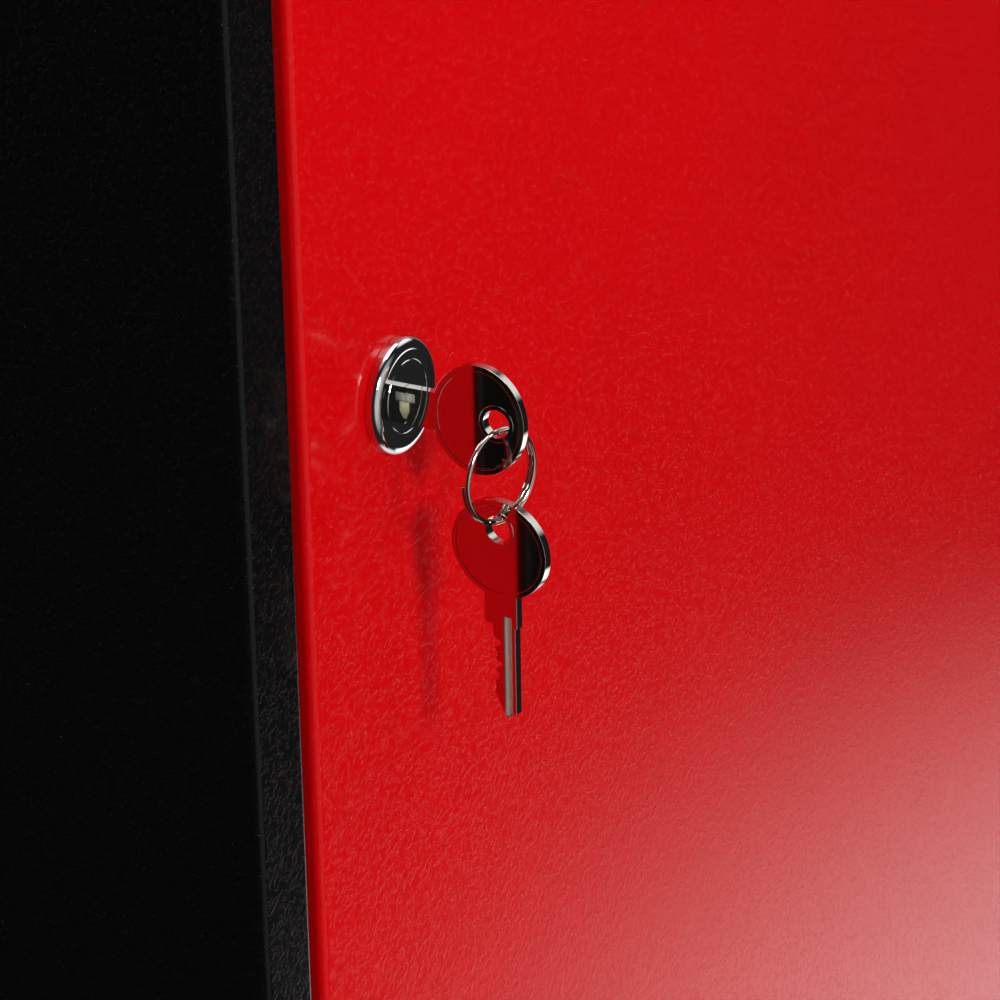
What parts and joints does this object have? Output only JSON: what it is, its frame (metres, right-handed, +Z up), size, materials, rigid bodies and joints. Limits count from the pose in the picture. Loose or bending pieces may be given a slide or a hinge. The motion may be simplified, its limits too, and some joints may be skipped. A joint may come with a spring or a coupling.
{
  "type": "roll front tool cabinet",
  "caption": "Wheeled steel tool cabinet: black textured carcass with a top tray, one flat red hinged door with a cam lock, keys on a ring, shelves inside and a side push handle.",
  "frame": {"origin": "on the floor below the middle of the whole cabinet's box, push handle and keys included", "axes": "+Z up, -Y out of the door's front, +X to the right as one faces the door"},
  "size_m": [0.5914, 0.487, 0.918],
  "materials": {
    "red_enamel": "red textured powder coat",
    "black_enamel": "black textured powder coat",
    "zinc_plate": "bright zinc plate",
    "chrome_plate": "polished chrome plate",
    "nickel_plate": "polished nickel plate",
    "brass_plate": "plain brass",
    "black_rubber": "ribbed black rubber",
    "grey_tyre": "dark grey solid rubber",
    "black_plastic": "moulded black plastic"
  },
  "bodies": {
    "cabinet": {"side_panel_left": "black_enamel", "side_panel_right": "black_enamel", "sill_rail": "black_enamel", "header_rail": "black_enamel", "back_panel": "black_enamel", "floor_panel": "black_enamel", "top_tray": "black_enamel", "top_mat": "black_rubber", "shelf_lower": "black_enamel", "shelf_upper": "black_enamel", "shelf_standards": "zinc_plate", "shelf_clips": "zinc_plate", "chassis_channels": "black_enamel", "castor_bolts": "zinc_plate", "castor_nuts": "zinc_plate", "fixed_castor_front_fork": "zinc_plate", "fixed_castor_front_axle": "zinc_plate", "swivel_castor_front_plate": "zinc_plate", "swivel_castor_front_kingpin": "zinc_plate", "fixed_castor_rear_fork": "zinc_plate", "fixed_castor_rear_axle": "zinc_plate", "swivel_castor_rear_plate": "zinc_plate", "swivel_castor_rear_kingpin": "zinc_plate", "push_handle_tube": "chrome_plate", "push_handle_front_bracket": "black_plastic", "push_handle_rear_bracket": "black_plastic", "push_handle_bolts": "zinc_plate", "push_handle_nuts": "zinc_plate", "door_buffers": "black_rubber", "lower_hinge_frame_leaf": "zinc_plate", "lower_hinge_pin": "zinc_plate", "upper_hinge_frame_leaf": "zinc_plate", "upper_hinge_pin": "zinc_plate"},
    "door": {"door_skin": "red_enamel", "door_stiffeners": "red_enamel", "lower_hinge_door_leaf": "zinc_plate", "upper_hinge_door_leaf": "zinc_plate", "lock_housing": "chrome_plate", "lock_nut": "zinc_plate"},
    "lock_cylinder": {"lock_plug": "chrome_plate", "lock_wafers": "brass_plate", "lock_cam": "zinc_plate", "cam_screw": "zinc_plate"},
    "first_key": {"key_in_lock": "nickel_plate"},
    "ring": {"split_ring": "nickel_plate"},
    "second_key": {"spare_key": "nickel_plate"},
    "front_swivel_fork": {"swivel_castor_front_fork": "zinc_plate", "swivel_castor_front_axle": "zinc_plate"},
    "front_swivel_wheel": {"swivel_castor_front_hub": "black_plastic", "swivel_castor_front_tyre": "grey_tyre"},
    "front_brake_pedal": {"swivel_castor_front_pedal": "zinc_plate"},
    "front_fixed_wheel": {"fixed_castor_front_hub": "black_plastic", "fixed_castor_front_tyre": "grey_tyre"},
    "rear_swivel_fork": {"swivel_castor_rear_fork": "zinc_plate", "swivel_castor_rear_axle": "zinc_plate"},
    "rear_swivel_wheel": {"swivel_castor_rear_hub": "black_plastic", "swivel_castor_rear_tyre": "grey_tyre"},
    "rear_brake_pedal": {"swivel_castor_rear_pedal": "zinc_plate"},
    "rear_fixed_wheel": {"fixed_castor_rear_hub": "black_plastic", "fixed_castor_rear_tyre": "grey_tyre"}
  },
  "joints": [
    {"name": "door_swing", "type": "hinge", "parent": "cabinet", "child": "door", "pos_m": [0.20475, -0.2118, 0.518], "axis": [0, 0, 1], "range_deg": [0, 165]},
    {"name": "lock_turn", "type": "hinge", "parent": "door", "child": "lock_cylinder", "pos_m": [-0.23995, -0.2075, 0.5235], "axis": [0, 1, 0], "range_deg": [0, 90]},
    {"name": "key_pull", "type": "slide", "parent": "lock_cylinder", "child": "first_key", "axis": [0, -1, 0], "range_m": [0, 0.026]},
    {"name": "ring_swing", "type": "hinge", "parent": "first_key", "child": "ring", "pos_m": [-0.23995, -0.23205, 0.5197], "axis": [0.9781, -0.2079, 0], "range_deg": [-90, 8]},
    {"name": "second_key_swing", "type": "hinge", "parent": "ring", "child": "second_key", "pos_m": [-0.23995, -0.23205, 0.4998], "axis": [0.9945, -0.1045, 0], "range_deg": [-28, 12]},
    {"name": "front_castor_swivel", "type": "hinge", "parent": "cabinet", "child": "front_swivel_fork", "pos_m": [0.15825, -0.1345, 0.125], "axis": [0, 0, 1], "continuous": true},
    {"name": "front_swivel_wheel_spin", "type": "hinge", "parent": "front_swivel_fork", "child": "front_swivel_wheel", "pos_m": [0.12425, -0.1345, 0.05], "axis": [0, 1, 0], "continuous": true},
    {"name": "front_brake_press", "type": "hinge", "parent": "front_swivel_fork", "child": "front_brake_pedal", "pos_m": [0.14425, -0.1345, 0.107], "axis": [0, -1, 0], "range_deg": [0, 6]},
    {"name": "front_fixed_wheel_spin", "type": "hinge", "parent": "cabinet", "child": "front_fixed_wheel", "pos_m": [-0.22975, -0.1345, 0.05], "axis": [0, 1, 0], "continuous": true},
    {"name": "rear_castor_swivel", "type": "hinge", "parent": "cabinet", "child": "rear_swivel_fork", "pos_m": [0.15825, 0.1715, 0.125], "axis": [0, 0, 1], "continuous": true},
    {"name": "rear_swivel_wheel_spin", "type": "hinge", "parent": "rear_swivel_fork", "child": "rear_swivel_wheel", "pos_m": [0.12425, 0.1715, 0.05], "axis": [0, 1, 0], "continuous": true},
    {"name": "rear_brake_press", "type": "hinge", "parent": "rear_swivel_fork", "child": "rear_brake_pedal", "pos_m": [0.14425, 0.1715, 0.107], "axis": [0, -1, 0], "range_deg": [0, 6]},
    {"name": "rear_fixed_wheel_spin", "type": "hinge", "parent": "cabinet", "child": "rear_fixed_wheel", "pos_m": [-0.22975, 0.1715, 0.05], "axis": [0, 1, 0], "continuous": true}
  ]
}
